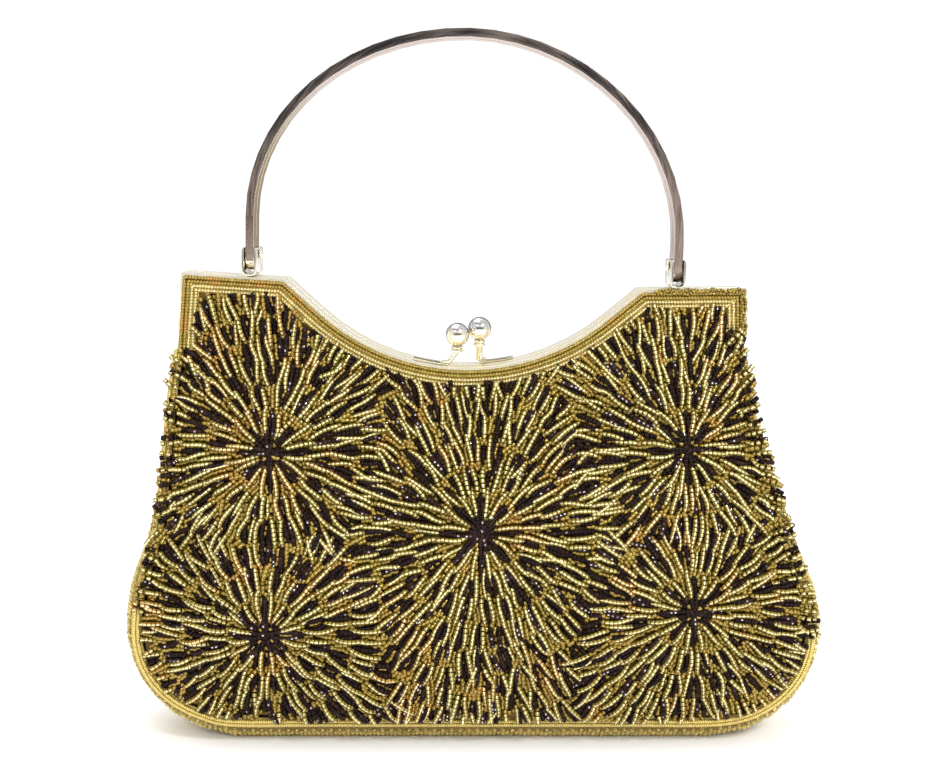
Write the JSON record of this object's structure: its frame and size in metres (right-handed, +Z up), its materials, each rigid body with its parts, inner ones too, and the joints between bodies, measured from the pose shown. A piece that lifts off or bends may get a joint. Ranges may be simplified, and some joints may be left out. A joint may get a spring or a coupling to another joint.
{
  "type": "beaded evening bag",
  "caption": "Soft evening bag beaded in radial bursts, on a kiss-lock metal frame with a dipped mouth and a rigid arched handle that folds down on pins.",
  "frame": {"origin": "middle of the flat bottom that the bag rests on", "axes": "+X to the right seen from the front, +Y to the back, +Z up; the front face looks along -Y"},
  "size_m": [0.259, 0.053, 0.2589],
  "materials": {
    "beaded_cloth": "gold and black seed beads sewn on cloth",
    "piping": "smooth gold cord, satin",
    "braid": "gold braid edged with bright beads",
    "frame_metal": "polished pale gold plate",
    "handle_metal": "mottled grey-brown plate, worn",
    "clasp_metal": "polished silver plate, pale gold below"
  },
  "bodies": {
    "bag": {"front_panel": "beaded_cloth", "back_panel": "beaded_cloth", "gusset": "beaded_cloth", "edge_piping_front": "piping", "edge_piping_back": "piping", "mouth_trim_front": "braid", "mouth_trim_back": "braid", "front_frame": "frame_metal", "back_frame": "frame_metal", "frame_hinge_left": "frame_metal", "frame_hinge_right": "frame_metal", "handle_bracket_left": "frame_metal", "handle_bracket_right": "frame_metal", "handle_rivet_left": "frame_metal", "handle_rivet_right": "frame_metal", "clasp_front": "clasp_metal", "clasp_back": "clasp_metal"},
    "handle": {"handle": "handle_metal"}
  },
  "joints": [
    {"name": "handle_hinge", "type": "hinge", "parent": "bag", "child": "handle", "pos_m": [-0.00248, 0, 0.1776], "axis": [0.9996, 0, -0.0297], "range_deg": [-90, 90]}
  ]
}
